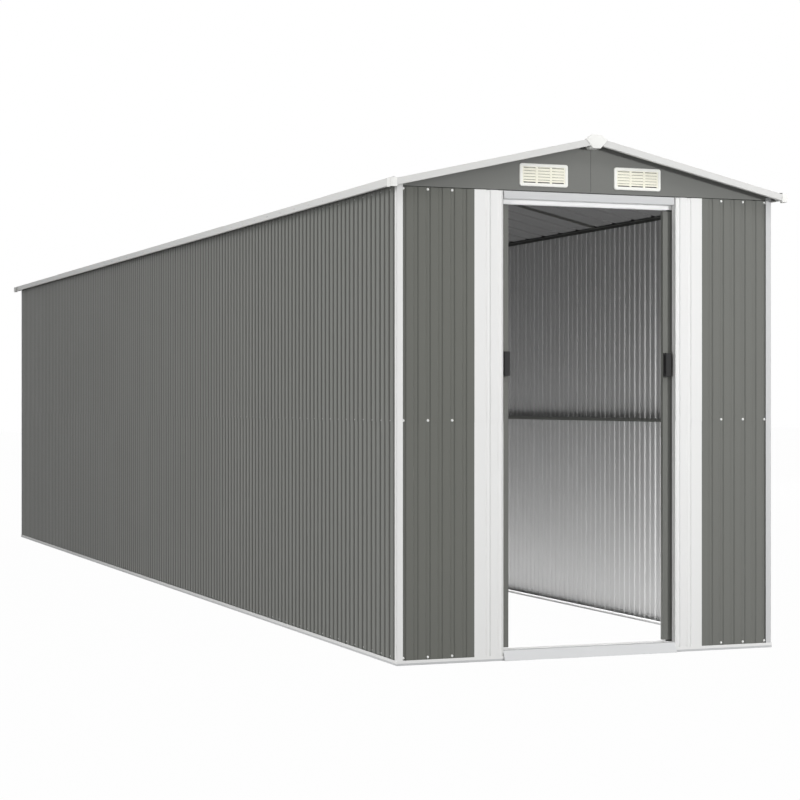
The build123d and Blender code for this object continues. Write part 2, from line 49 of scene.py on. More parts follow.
# Ribbed sheet: narrow valleys between wide flats, pressed from thin coated steel
VALLEY_PITCH = 54.5 * MM
VALLEY_FLOOR = 15.0 * MM
VALLEY_FLANK = 4.2 * MM
LONG_WALL_FLOOR = 11.0 * MM
SHALLOW_VALLEY = 0.82
SHEET = 0.5 * MM
SHEET_BEND = 1.0 * MM
LAP_HEIGHT = 1002.0 * MM
LAP_TALL = 18.0 * MM
LAP_STEP = 1.2 * MM
LAP_CLEAR = 0.3 * MM
FRONT_FIRST_VALLEY = 33.2 * MM
RIGHT_FIRST_VALLEY = 44.4 * MM
JAMB_FIRST_VALLEY = 14.0 * MM
GABLE_GAP = 3.0 * MM

# Folded white sections
SECTION = 1.2 * MM
SECTION_BEND = 2.0 * MM
RAIL_WIDTH = 36.0 * MM
RAIL_LIP = 21.0 * MM
RAIL_INNER_LIP = 16.0 * MM
SKIRT_FOOT = 10.0 * MM
SILL_FOOT = 16.0 * MM
SILL_SHOULDER = 8.0 * MM
SILL_LOWERED = 3.5 * MM
GUSSET_TALL = 26.0 * MM
HEADER_GAP = 3.0 * MM
HEADER_CHAMFER = 14.0 * MM
HEADER_LEAN = 4.0 * MM
SKIRT = 0.8 * MM

# Roof: ribs run down the slope, and each sheet laps over the next one's edge rib
ROOF_SLOPE = 0.2279
RIDGE_GAP = 3.0 * MM
ROOF_SHEET = 1.0 * MM
RIB_PITCH = 211.0 * MM
RIB_HEIGHT = 8.0 * MM
RIB_CREST = 30.0 * MM
RIB_FLANK = 8.0 * MM
RIBS_A_SHEET = 4
RIB_BEND = 3.0 * MM
ROOF_LAP = 6.0 * MM
ROOF_LAP_STEP = 0.8 * MM
ROOF_VISUAL_SHEET = 0.7 * MM
RAKE_LOW = -11.0 * MM
RAKE_HIGH = 18.0 * MM
RAKE_FLANGE = 18.0 * MM
EAVE_FLANGE = 14.0 * MM
EAVE_DROP = 6.5 * MM
EAVE_LIP = 8.0 * MM
EAVE_JOINTS = [v * MM for v in (846, 2484, 3466, 5286, 6798)]

# Corner caps
CAP_FRONT = 28.0 * MM
CAP_SIDE = 43.0 * MM
CAP_WALL = 1.5 * MM

# Vents: a raised frame round three columns of louvres
VENT_BORDER = 14.0 * MM
VENT_COLUMNS = 3
VENT_SLOT_WIDTH = 56.0 * MM
VENT_SLOT_HEIGHT = 4.0 * MM
VENT_ROW_GAPS = [v * MM for v in (2.2, 1.2, 1.2, 1.2, 1.2, 4.0)]
VENT_COLUMN_PITCH = 66.0 * MM
VENT_ROW_PITCH = 12.5 * MM
VENT_WIDE = 225.0 * MM
VENT_THICK = 6.0 * MM
VENT_CORNER = 10.0 * MM

# Strip of painted shadow at the middle of each gable
SEAM_HALF = 0.9 * MM
SEAM_CREST = 0.5 * MM
SEAM_SUNK = 0.2 * MM
SEAM_PROUD = 0.3 * MM
SEAM_FOOT = 2.0 * MM
SEAM_TOP = 8.0 * MM

# Screws: a washer and a low domed head
WASHER_RADIUS = 4.8 * MM
HEAD_RADIUS = 3.4 * MM
HEAD_HEIGHT = 2.2 * MM
SCREW_SUNK = 0.2 * MM
SCREW_FOOT = 30.0 * MM
SCREW_HEAD = 11.0 * MM


# Meshes of folded and pressed sheet
def rounded(points, radius, steps=3):
    """The same line with its corners turned into arcs, as a press or a brake leaves them."""
    line = [Vector(points[0])]
    for before, corner, after in zip(points, points[1:], points[2:]):
        corner = Vector(corner)
        back = Vector(before) - corner
        ahead = Vector(after) - corner
        room = 0.45 * min(back.length, ahead.length)
        turn = math.pi - back.angle(ahead)
        if turn < 0.02:
            line.append(corner)
            continue
        cut = min(radius * math.tan(turn / 2), room)
        reach = cut / math.tan(turn / 2)
        middle = corner + (back.normalized() + ahead.normalized()).normalized() * (
            reach / math.cos(turn / 2)
        )
        start = corner + back.normalized() * cut - middle
        end = corner + ahead.normalized() * cut - middle
        for step in range(steps + 1):
            share = step / steps
            spoke = start * math.sin((1 - share) * turn) + end * math.sin(share * turn)
            line.append(middle + spoke / math.sin(turn))
    line.append(Vector(points[-1]))
    return line


def offset(line, thickness):
    """The line's other face, thickness to its left."""
    other = []
    for i, point in enumerate(line):
        sides = []
        for a, b in ((i - 1, i), (i, i + 1)):
            if 0 <= a and b < len(line):
                run = (line[b] - line[a]).normalized()
                sides.append(Vector((-run.y, run.x)))
        normal = sum(sides, Vector((0.0, 0.0))).normalized()
        other.append(point + normal * (thickness / normal.dot(sides[0])))
    return other


def swept(line, thickness, place, low, high, paints=(0, 0)):
    """Closed sheet of that face line, from low to high. place turns (a, b, t) into a point."""
    face = [Vector(p) for p in line]
    back = offset(face, thickness)
    count = len(face)
    verts = []
    for t in (low, high):
        verts += [place(a, b, t) for a, b in face]
        verts += [place(a, b, t) for a, b in back]
    faces = []
    finish = []
    for i in range(count - 1):
        faces.append((i, i + 1, 2 * count + i + 1, 2 * count + i))
        finish.append(paints[0])
        faces.append((count + i + 1, count + i, 3 * count + i, 3 * count + i + 1))
        finish.append(paints[1])
        faces.append((i + 1, i, count + i, count + i + 1))
        faces.append((2 * count + i, 2 * count + i + 1, 3 * count + i + 1, 3 * count + i))
        finish += [paints[0], paints[0]]
    for i in (0, count - 1):
        faces.append((i, 2 * count + i, 3 * count + i, count + i))
        finish.append(paints[0])
    return verts, faces, finish


def prism(outline, place, low, high, paint=0):
    """Closed solid of a flat outline, from low to high."""
    count = len(outline)
    verts = [place(a, b, t) for t in (low, high) for a, b in outline]
    faces = [tuple(range(count)), tuple(range(2 * count - 1, count - 1, -1))]
    faces += [(i, (i + 1) % count, count + (i + 1) % count, count + i) for i in range(count)]
    return verts, faces, [paint] * len(faces)


def ring(loops, paint=0):
    """Closed band through loops of points, the last loop joined to the first."""
    count = len(loops[0])
    verts = [point for loop in loops for point in loop]
    faces = []
    for j in range(len(loops)):
        here, there = j * count, (j + 1) % len(loops) * count
        for i in range(count):
            k = (i + 1) % count
            faces.append((here + i, here + k, there + k, there + i))
    return verts, faces, [paint] * len(faces)


def screw(at, out, scale=1.0, sides=10, paint=0):
    """A washer with a low domed head on it, standing on a point of the sheet."""
    out = Vector(out).normalized()
    across = out.orthogonal().normalized()
    along = out.cross(across)
    rings = [
        (WASHER_RADIUS, -0.5 * MM),
        (WASHER_RADIUS, 0.5 * MM),
        (WASHER_RADIUS - 0.6 * MM, 1.0 * MM),
        (HEAD_RADIUS, 1.1 * MM),
        (HEAD_RADIUS - 0.3 * MM, 1.9 * MM),
        (HEAD_RADIUS * 0.6, HEAD_HEIGHT),
    ]
    verts = []
    for radius, height in rings:
        for i in range(sides):
            turn = 2 * math.pi * i / sides
            spoke = across * math.cos(turn) + along * math.sin(turn)
            verts.append(Vector(at) + (spoke * radius + out * height) * scale)
    faces = [tuple(range(sides)), tuple(range(len(verts) - 1, len(verts) - 1 - sides, -1))]
    for j in range(len(rings) - 1):
        for i in range(sides):
            k = (i + 1) % sides
            faces.append((j * sides + i, j * sides + k, (j + 1) * sides + k, (j + 1) * sides + i))
    return verts, faces, [paint] * len(faces)


def piece(name, parts, paints, body, stands_for=(), smooth=32.0, bevel=0.0):
    """One object of the scene, made of closed parts, which rides on a body."""
    verts, faces, finish = [], [], []
    for part_verts, part_faces, part_finish in parts:
        start = len(verts)
        verts += [tuple(v) for v in part_verts]
        faces += [tuple(start + i for i in face) for face in part_faces]
        finish += part_finish
    mesh = bpy.data.meshes.new(name)
    mesh.from_pydata(verts, [], faces)
    for paint in paints:
        mesh.materials.append(paint)
    mesh.polygons.foreach_set("material_index", finish)
    return finished(name, mesh, body, stands_for, smooth, bevel)


def finished(name, mesh, body, stands_for, smooth=32.0, bevel=0.0):
    """Rounds the mesh's sharp edges, smooths it and puts it on its body."""
    solid = bmesh.new()
    solid.from_mesh(mesh)
    if bevel > 0:
        bmesh.ops.remove_doubles(solid, verts=solid.verts, dist=0.01 * MM)
        bmesh.ops.dissolve_limit(
            solid, angle_limit=math.radians(0.5), verts=solid.verts, edges=solid.edges
        )
        edges = [e for e in solid.edges if e.calc_face_angle(0.0) > math.radians(20)]
        bmesh.ops.bevel(
            solid, geom=edges, offset=bevel, segments=2, profile=0.6,
            affect="EDGES", clamp_overlap=True,
        )
    bmesh.ops.recalc_face_normals(solid, faces=solid.faces)
    solid.to_mesh(mesh)
    solid.free()
    mesh.shade_smooth()
    mesh.set_sharp_from_angle(angle=math.radians(smooth))
    made = bpy.data.objects.new(name, mesh)
    bpy.context.scene.collection.objects.link(made)
    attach(made, body)
    if stands_for:
        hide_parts(*stands_for)
    return made


def softened(name, node, paint, body, bevel):
    """The same form as a CAD node, with its edges rounded as moulding or folding leaves them."""
    mesh = nodes[node].data.copy()
    mesh.name = name
    mesh.materials.clear()
    mesh.materials.append(paint)
    return finished(name, mesh, body, [node], 32.0, bevel)


# Materials
def linear(colour):
    """An sRGB hex colour as linear values."""
    channels = [int(colour[i:i + 2], 16) / 255 for i in (1, 3, 5)]
    values = [c / 12.92 if c <= 0.04045 else ((c + 0.055) / 1.055) ** 2.4 for c in channels]
    return (*values, 1.0)


def add(tree, kind, settings, links):
    """Adds a node. Settings are input values or properties, and links are inputs."""
    made = tree.nodes.new(kind)
    for name, value in settings.items():
        if isinstance(name, int) or name in made.inputs:
            made.inputs[name].default_value = value
        else:
            setattr(made, name, value)
    for name, source in links.items():
        tree.links.new(source, made.inputs[name])
    return made


def material(name):
    made = bpy.data.materials.new(name)
    made.use_nodes = True
    made.node_tree.nodes.clear()
    return made


def coated(name, colour, roughness, drift=0.03, peel_mm=2.5, peel_depth=0.02, shine=0.5):
    """Smooth coated or moulded surface: colour drifts a little, and the skin has a fine peel."""
    made = material(name)
    tree = made.node_tree
    place = add(tree, "ShaderNodeTexCoord", {}, {}).outputs["Object"]
    clouds = add(tree, "ShaderNodeTexNoise", {"Scale": 1 / 0.6, "Detail": 3.0}, {"Vector": place})
    base = linear(colour)
    dark = tuple(c * (1 - drift) for c in base[:3]) + (1.0,)
    light = tuple(min(1.0, c * (1 + drift)) for c in base[:3]) + (1.0,)
    tint = add(
        tree, "ShaderNodeMix", {"data_type": "RGBA", 6: dark, 7: light}, {0: clouds.outputs["Fac"]}
    )
    gloss = add(
        tree, "ShaderNodeMapRange",
        {"To Min": roughness - 0.04, "To Max": roughness + 0.05},
        {"Value": clouds.outputs["Fac"]},
    )
    peel = add(
        tree, "ShaderNodeTexNoise", {"Scale": 1 / (peel_mm * MM), "Detail": 1.0}, {"Vector": place}
    )
    bump = add(
        tree, "ShaderNodeBump", {"Strength": 0.25, "Distance": peel_depth * MM},
        {"Height": peel.outputs["Fac"]},
    )
    skin = add(
        tree, "ShaderNodeBsdfPrincipled", {"IOR": 1.5, "Specular IOR Level": shine},
        {
            "Base Color": tint.outputs[2],
            "Roughness": gloss.outputs["Result"],
            "Normal": bump.outputs["Normal"],
        },
    )
    add(tree, "ShaderNodeOutputMaterial", {}, {"Surface": skin.outputs["BSDF"]})
    return made


# The greys and whites below differ a little by place. They are fitted to the photograph's
# tones, light and shade included: the real shed probably has one grey and one white.
# Stoved polyester paint on galvanised sheet: satin, even, with a faint orange peel
grey_paint = coated("stoved_grey_polyester_paint", "#737470", 0.46, shine=0.2)
# A darker copy of the same paint: painted shade on the sheet left of the doorway
painted_shade_grey = coated("stoved_grey_paint_copy_painted_shade", "#6D6E69", 0.46, shine=0.2)
# A lighter copy of the same paint: painted light on the gables
gable_grey_painted_light = coated("stoved_grey_painted_light_on_gables", "#787976", 0.46, shine=0.2)
# The same sheet's thin pale backing coat, duller than the face
backing_coat = coated("pale_backing_coat", "#949494", 0.6)
# Roof sheets: the same grey outside, and a darker coat on the underside
roof_paint = coated("stoved_grey_roof_paint", "#70716C", 0.46)
underside_coat = coated("dark_backing_coat", "#4F4F4F", 0.6)
# White polyester paint on brake-folded steel: cleaner and a little glossier
white_paint = coated("stoved_white_polyester_paint", "#EBEBEA", 0.4, drift=0.012)
# A greyer white: the lower half of the base rails, a little greyer than the skirt above it, and
# painted shade on the right-hand posts, which are the same white as the left-hand ones
greyer_white_and_painted_shade = coated("stoved_greyer_white_and_painted_shade", "#CACBCC", 0.42, drift=0.012)
# Greyer copies of the white, as painted shade: the doorway's sill, between the two in tone, and its
# header, a shade greyer
sill_white_painted_shade = coated("stoved_white_paint_painted_shade_on_sill", "#D8D9DA", 0.42, drift=0.012)
header_white_painted_shade = coated("stoved_white_paint_painted_shade_on_header", "#CDCECF", 0.42, drift=0.012)
# The roof's edge trims, a slightly greyer white
trim_paint = coated("stoved_trim_white_paint", "#D7D7D5", 0.42, drift=0.012)
# A brighter copy of the white, as painted light: the door track, the brightest white in the
# doorway, and the base rails' inner lips
painted_light_white = coated("stoved_painted_light_white", "#FAFAFA", 0.36, drift=0.0)
# Dark painted rails and beams inside
rail_paint = coated("stoved_dark_grey_paint", "#474845", 0.45)
# Near-black, darker still, as painted shade: on the top rails, which close the joint under the
# gables, it darkens the line there, and it colours the strips of painted shadow at the gables'
# middles
near_black_painted_shade = coated("stoved_near_black_painted_shade", "#262725", 0.5)
# Moulded polypropylene caps, matt and faintly warm
cap_plastic = coated("moulded_polypropylene_white", "#F0F0ED", 0.55, peel_mm=1.2, drift=0.01)
# Moulded ABS vents: near-white frames round cream louvres
vent_plastic = coated("moulded_abs_white", "#F5F5F0", 0.5, peel_mm=1.2, drift=0.01)
louvre_plastic = coated("moulded_abs_cream", "#F2F0E1", 0.5, peel_mm=1.2, drift=0.01)
# Moulded ABS handles in black, with a fine spark-eroded grain
handle_plastic = coated("moulded_abs_black", "#202020", 0.5, peel_mm=1.0, peel_depth=0.05)
# Nylon runners
runner_plastic = coated("moulded_nylon_black", "#2B2B2A", 0.4, peel_mm=1.0)
# White-coated screw heads
screw_coat = coated("coated_screw_heads", "#F4F4F2", 0.35, peel_mm=1.0, drift=0.01)


# Where the walls stand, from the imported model
left_low, left_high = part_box("wall_left")
half_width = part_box("rail_front")[1].x
half_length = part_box("rail_left")[1].y
wall_depth = left_high.x - left_low.x
wall_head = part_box("front_wall_left")[1].z
screw_rows = (SCREW_FOOT, LAP_HEIGHT + LAP_TALL / 2 - 1 * MM, wall_head - SCREW_HEAD)


def valley_middles(start, end, first, floor):
    half = floor / 2 + VALLEY_FLANK
    middles = []
    middle = first
    while middle + half < end:
        if middle - half > start:
            middles.append(middle)
        middle += VALLEY_PITCH
    return middles


def valleys(start, end, first, depth, floor=VALLEY_FLOOR, between=1.0):
    """Face line of a ribbed sheet: (along, depth) points. between is each second one's depth."""
    half = floor / 2 + VALLEY_FLANK
    line = [(start, 0.0)]
    for i, middle in enumerate(valley_middles(start, end, first, floor)):
        deep = depth if i % 2 else depth * between
        line += [
            (middle - half, 0.0),
            (middle - floor / 2, deep),
            (middle + floor / 2, deep),
            (middle + half, 0.0),
        ]
    line.append((end, 0.0))
    return line


def two_sheets(start, end, first, bottom, top, place, floor=VALLEY_FLOOR, inside=1, between=1.0):
    """An upper sheet that laps over a lower one. The lower is a step further in."""
    deep = wall_depth - SHEET
    upper_deep = deep - SHEET - LAP_CLEAR
    upper = rounded(valleys(start, end, first, upper_deep, floor, between), SHEET_BEND)
    lower = rounded(valleys(start, end, first, deep - LAP_STEP, floor, between), SHEET_BEND)

    def place_lower(along, depth, height):
        return place(along, depth + LAP_STEP, height)

    paints = (0, inside)
    return [
        swept(upper, SHEET, place, LAP_HEIGHT, top, paints),
        swept(lower, SHEET, place_lower, bottom, LAP_HEIGHT + LAP_TALL, paints),
    ]


def wall_screws(start, end, first, place, out, floor=VALLEY_FLOOR, skip=0, scale=1.15):
    """Screws in every second valley's floor, at the base, the lap and the head."""
    deep = wall_depth - SHEET
    made = []
    for middle in valley_middles(start, end, first, floor)[skip::2]:
        for height in screw_rows:
            depth = deep if height < LAP_HEIGHT else deep - SHEET - LAP_CLEAR
            made.append(screw(place(middle, depth - SCREW_SUNK, height), out, scale, paint=2))
    return made


def long_wall(name, node, outward):
    low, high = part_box(node)
    outer = low.x if outward < 0 else high.x
    first = low.y + VALLEY_PITCH / 2

    def place(along, depth, height):
        return (outer - outward * depth, along, height)

    parts = two_sheets(
        low.y, high.y, first, low.z, high.z, place, LONG_WALL_FLOOR, between=SHALLOW_VALLEY
    )
    parts += wall_screws(
        low.y, high.y, first, place, (outward, 0, 0), LONG_WALL_FLOOR, skip=1, scale=0.85
    )
    paints = [grey_paint, backing_coat, screw_coat]
    return piece(name, parts, paints, "shed", [node])


long_wall("left_wall_sheets", "wall_left", -1)
long_wall("right_wall_sheets", "wall_right", 1)


def end_wall(name, node, first, outward, paint=grey_paint, skip=0):
    low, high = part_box(node)
    outer = low.y if outward < 0 else high.y

    def place(along, depth, height):
        return (along, outer - outward * depth, height)

    parts = two_sheets(low.x, high.x, first, low.z, high.z - GABLE_GAP, place)
    parts += wall_screws(low.x, high.x, first, place, (0, outward, 0), skip=skip)
    return piece(name, parts, [paint, backing_coat, screw_coat], "shed", [node])


right_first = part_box("front_wall_right")[0].x + RIGHT_FIRST_VALLEY
end_wall("back_wall_sheets", "wall_back", -half_width + FRONT_FIRST_VALLEY, 1)
# The sheet left of the doorway takes the darker copy of the grey, as painted shade
end_wall(
    "front_left_sheets", "front_wall_left", -half_width + FRONT_FIRST_VALLEY, -1, painted_shade_grey
)
end_wall("front_right_sheets", "front_wall_right", right_first, -1, skip=1)


# White panels beside the doorway, each with its edge turned back
def jamb_panel(name, node, side):
    low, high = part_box(node)
    edge = min(abs(low.x), abs(high.x))
    outer = max(abs(low.x), abs(high.x))

    def place(along, depth, height):
        return (side * along, low.y + depth, height)

    top = high.z - GABLE_GAP
    parts = two_sheets(edge, outer, edge + JAMB_FIRST_VALLEY, low.z, top, place, inside=0)
    turned_back = [(edge, 0.0), (edge, high.y - low.y)]
    return_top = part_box("top_rails")[0].z - SECTION
    parts.append(swept(turned_back, -SECTION, place, low.z, return_top))
    return piece(name, parts, [white_paint], "shed", [node])


jamb_panel("left_jamb_panel", "jamb_panel_left", -1)
jamb_panel("right_jamb_panel", "jamb_panel_right", 1)


# Corner posts, folded with a round outer corner
def post(name, node, side, end, paint):
    low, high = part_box(node)
    corner_x = high.x if side > 0 else low.x
    corner_y = high.y if end > 0 else low.y
    front = high.x - low.x
    deep = high.y - low.y

    def place(across, back, height):
        return (corner_x - side * across, corner_y - end * back, height)

    line = rounded([(front, 0.0), (0.0, 0.0), (0.0, deep)], SECTION_BEND)
    parts = [swept(line, -SECTION, place, low.z, high.z)]
    return piece(name, parts, [paint], "shed", [node])


# The right-hand posts take the greyer white: painted shade, as they are the same white as the
# left-hand posts
post("front_left_post", "post_front_left", -1, -1, white_paint)
post("front_right_post", "post_front_right", 1, -1, greyer_white_and_painted_shade)
post("back_left_post", "post_back_left", -1, 1, white_paint)
post("back_right_post", "post_back_right", 1, 1, greyer_white_and_painted_shade)


# Base rails, mitred at the corners: a channel with a white skirt over its outer lip
def base_rail(name, node, along_x, side):
    reach = half_width if along_x else half_length
    outer = half_length if along_x else half_width

    def place(inward, height, end):
        along = end * (reach - inward)
        if along_x:
            return (along, side * (outer - inward), height)
        return (side * (outer - inward), along, height)

    foot = 0.4 * MM
    channel = rounded([(RAIL_WIDTH, 0.0), (foot, 0.0), (foot, SKIRT_FOOT)], 1.2 * MM)
    skirt = [(0.0, SKIRT_FOOT - 1 * MM), (0.0, RAIL_LIP)]
    # The inner lip takes the brighter copy of the white: painted light
    inner_lip = [(RAIL_WIDTH, RAIL_INNER_LIP), (RAIL_WIDTH, SECTION / 2)]
    parts = [
        swept(channel, -SECTION, place, -1, 1, (1, 1)),
        swept(skirt, -SKIRT, place, -1, 1),
        swept(inner_lip, -SECTION, place, -1, 1, (2, 2)),
    ]
    return piece(name, parts, [white_paint, greyer_white_and_painted_shade, painted_light_white], "shed", [node])


base_rail("front_rail", "rail_front", True, -1)
base_rail("back_rail", "rail_back", True, 1)
base_rail("left_rail", "rail_left", False, -1)
base_rail("right_rail", "rail_right", False, 1)


# Header and sill of the doorway
header_low, header_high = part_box("door_header")
sill_low, sill_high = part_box("door_sill")


def front_place(deep, height, along):
    return (along, -half_length + deep, height)


header_face = header_low.y + half_length
header_back = header_high.y + half_length
header_line = rounded(
    [
        (header_back, header_low.z),
        (header_face, header_low.z),
        (header_face, header_high.z - HEADER_CHAMFER),
        (header_face + HEADER_LEAN, header_high.z - GABLE_GAP),
    ],
    SECTION_BEND,
)
header_ends = (header_low.x + HEADER_GAP, header_high.x - HEADER_GAP)
header_parts = [swept(header_line, -SECTION, front_place, *header_ends)]
# The header takes a greyer copy of the white: painted shade
piece("header", header_parts, [header_white_painted_shade], "shed", ["door_header"])

sill_back = sill_high.y + half_length
sill_top = sill_high.z - SILL_LOWERED
sill_line = rounded(
    [
        (-SILL_FOOT + 0.3 * MM, 0.6 * MM),
        (SILL_SHOULDER - SECTION / 2, sill_top),
        (sill_back, sill_top),
    ],
    SECTION_BEND,
)
sill_parts = [swept(sill_line, -SECTION, front_place, sill_low.x, sill_high.x)]
gusset = [(-SILL_FOOT + SECTION, 0.0), (-0.3 * MM, 0.0), (-0.3 * MM, GUSSET_TALL)]
for end in (sill_low.x, sill_high.x - SECTION):
    sill_parts.append(prism(gusset, front_place, end, end + SECTION))
# The sill takes a greyer copy of the white: painted shade
piece("sill", sill_parts, [sill_white_painted_shade], "shed", ["door_sill"])


# Vents: a raised frame with a round front edge, and louvres between its bars
def rounded_box(width, height, radius, steps=4):
    points = []
    for quarter, (sx, sz) in enumerate(((1, 1), (-1, 1), (-1, -1), (1, -1))):
        for step in range(steps + 1):
            turn = math.pi / 2 * (quarter + step / steps)
            points.append(
                (
                    sx * (width / 2 - radius) + radius * math.cos(turn),
                    sz * (height / 2 - radius) + radius * math.sin(turn),
                )
            )
    return points


vent_low, vent_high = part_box("gable_vents")
vent_tall = vent_high.z - vent_low.z
vent_middle_x = vent_high.x - VENT_WIDE / 2
vent_middle_z = (vent_high.z + vent_low.z) / 2
gable_face = abs(vent_low.y) - VENT_THICK


def vent(side, end):
    """Depths run outwards from the gable."""

    def place(across, height, out):
        return (
            side * vent_middle_x + across, end * (gable_face + out), vent_middle_z + height
        )

    def loop(inset, out):
        radius = max(VENT_CORNER - inset, 2 * MM)
        line = rounded_box(VENT_WIDE - 2 * inset, vent_tall - 2 * inset, radius)
        return [place(a, b, out) for a, b in line]

    border = VENT_BORDER
    parts = [
        ring(
            [
                loop(0.0, 0.0), loop(0.0, 3.4 * MM), loop(0.9 * MM, 5.2 * MM),
                loop(2.6 * MM, VENT_THICK), loop(border - 3 * MM, VENT_THICK),
                loop(border - 1 * MM, 5.2 * MM), loop(border, 3.0 * MM), loop(border, 0.0),
            ]
        )
    ]
    inner_wide = VENT_WIDE / 2 - border + 1 * MM
    inner_tall = vent_tall / 2 - border + 1 * MM
    bar_edges = [-inner_wide]
    for column in range(VENT_COLUMNS):
        middle = (column - (VENT_COLUMNS - 1) / 2) * VENT_COLUMN_PITCH
        bar_edges += [middle - VENT_SLOT_WIDTH / 2, middle + VENT_SLOT_WIDTH / 2]
    bar_edges.append(inner_wide)
    for low, high in zip(bar_edges[::2], bar_edges[1::2]):
        outline = [(low, -inner_tall), (high, -inner_tall), (high, inner_tall), (low, inner_tall)]
        parts.append(prism(outline, place, 0.8 * MM, 3.4 * MM, 1))
    for row, gap in enumerate(VENT_ROW_GAPS):
        middle = ((len(VENT_ROW_GAPS) - 1) / 2 - row) * VENT_ROW_PITCH
        blade_top = middle + VENT_ROW_PITCH - VENT_SLOT_HEIGHT / 2
        blade_foot = middle - VENT_SLOT_HEIGHT / 2 + gap
        parts.append(louvre(place, inner_wide, min(blade_top, inner_tall), blade_foot))
    parts.append(louvre(place, inner_wide, -VENT_ROW_PITCH * 2.5 - 2.5 * MM, -inner_tall))
    return parts


def louvre(place, half, top, foot, paint=1):
    """A blade that leans outwards from its top to its foot, with a turned-in lower edge."""
    profile = [(1.0, top), (4.2, foot + 1.2 * MM), (4.2, foot), (3.2, foot), (3.0, foot + 1 * MM)]
    profile.append((0.4, top - 0.8 * MM))

    def across_place(out, height, across):
        return place(across, height, out * MM)

    return prism(profile, across_place, -half, half, paint)


vent_parts = vent(-1, -1) + vent(1, -1) + vent(-1, 1) + vent(1, 1)
vent_paints = [vent_plastic, louvre_plastic]
piece("moulded_vents", vent_parts, vent_paints, "shed", ["gable_vents"], 40.0)


# The front gable has a dark line at its middle, and the gap between the solids shows too pale. A
# thin dark strip, painted shadow along the joint, stands for it: what the line really is isn't
# known.
def painted_joint_shadow():
    low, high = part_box("gable_front")
    foot, top = low.z + SEAM_FOOT, high.z - SEAM_TOP
    profile = [
        (-SEAM_HALF, -SEAM_SUNK), (SEAM_HALF, -SEAM_SUNK),
        (SEAM_CREST, SEAM_PROUD), (-SEAM_CREST, SEAM_PROUD),
    ]
    parts = []
    for end in (-1, 1):

        def place(across, out, height):
            return (across, end * (gable_face + out), height)

        parts.append(prism(profile, place, foot, top))
    return piece("gable_joint_painted_shadow", parts, [near_black_painted_shade], "shed")


painted_joint_shadow()


# Roof sheets, lapped rib over rib, and fixed by screws on the ribs
slope_angle = math.atan(ROOF_SLOPE)
eave_low_corner, eave_high_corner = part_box("eave_trims")
roof_half = eave_high_corner.x
roof_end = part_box("rake_trims")[1].y
sheet_low, sheet_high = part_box("roof_left")
sheet_end = sheet_high.y
eave_underside = eave_low_corner.z + EAVE_DROP
apex_underside = eave_underside + ROOF_SLOPE * roof_half


def slope_place(side, along, height, down):
    """A point on a roof slope: down the slope from the ridge gap, height off the underside."""
    across = RIDGE_GAP + down * math.cos(slope_angle) + height * math.sin(slope_angle)
    start = apex_underside - ROOF_SLOPE * RIDGE_GAP
    rise = height * math.cos(slope_angle) - down * math.sin(slope_angle)
    return (side * across, along, start + rise)


roof_run = (-sheet_low.x - RIDGE_GAP) / math.cos(slope_angle)
roof_run -= (RIB_HEIGHT + ROOF_SHEET) * math.tan(slope_angle)
rib_count = int((2 * sheet_end - RIB_CREST - 2 * RIB_FLANK) // RIB_PITCH) + 1
first_rib = -(rib_count - 1) / 2 * RIB_PITCH


def roof_sheets(name, node, side):
    parts = []
    sheets = (rib_count - 1) // RIBS_A_SHEET
    for sheet in range(sheets):
        over = ROOF_LAP_STEP if sheet % 2 else 0.0
        first = sheet * RIBS_A_SHEET
        foot = RIB_CREST / 2 + RIB_FLANK
        start = first_rib + first * RIB_PITCH - foot - ROOF_LAP
        end = first_rib + (first + RIBS_A_SHEET) * RIB_PITCH + foot + ROOF_LAP
        if sheet == 0:
            start = -sheet_end
        if sheet == sheets - 1:
            end = sheet_end
        line = [(start, ROOF_SHEET + over)]
        for rib in range(first, first + RIBS_A_SHEET + 1):
            middle = first_rib + rib * RIB_PITCH
            line += [
                (middle - foot, ROOF_SHEET + over),
                (middle - RIB_CREST / 2, ROOF_SHEET + RIB_HEIGHT + over),
                (middle + RIB_CREST / 2, ROOF_SHEET + RIB_HEIGHT + over),
                (middle + foot, ROOF_SHEET + over),
            ]
        line.append((end, ROOF_SHEET + over))

        def place(along, height, down):
            return slope_place(side, along, height, down)

        sheet_line = rounded(line, RIB_BEND)
        parts.append(swept(sheet_line, -ROOF_VISUAL_SHEET, place, 0.0, roof_run, (0, 2)))
    out = (side * math.sin(slope_angle), 0, math.cos(slope_angle))
    for rib in range(rib_count):
        middle = first_rib + rib * RIB_PITCH
        for down in (0.13, roof_run * 0.52, roof_run - 0.05):
            at = slope_place(side, middle, ROOF_SHEET + RIB_HEIGHT + ROOF_VISUAL_SHEET, down)
            parts.append(screw(at, out, 0.9, paint=1))
    paints = [roof_paint, screw_coat, underside_coat]
    return piece(name, parts, paints, "shed", [node])


roof_sheets("left_roof_sheets", "roof_left", -1)
roof_sheets("right_roof_sheets", "roof_right", 1)


# Rake trims: a folded channel up each gable edge, with a small lower bead
def rake_trims():
    parts = []
    run = (roof_half - SECTION - RIDGE_GAP) / math.cos(slope_angle)
    run -= RAKE_HIGH * math.tan(slope_angle)
    line = rounded(
        [
            (RAKE_FLANGE, RAKE_LOW),
            (0.0, RAKE_LOW),
            (0.0, RAKE_LOW + 5 * MM),
            (0.7 * MM, RAKE_LOW + 6.5 * MM),
            (0.7 * MM, RAKE_HIGH),
            (RAKE_FLANGE, RAKE_HIGH),
        ],
        1.6 * MM,
    )
    for side in (-1, 1):
        for end in (-1, 1):

            def place(inward, height, down):
                return slope_place(side, end * (roof_end - inward), height, down)

            parts.append(swept(line, -SECTION, place, 0.3 * MM, run))
    return piece("gable_edge_trims", parts, [trim_paint], "shed", ["rake_trims"])


rake_trims()


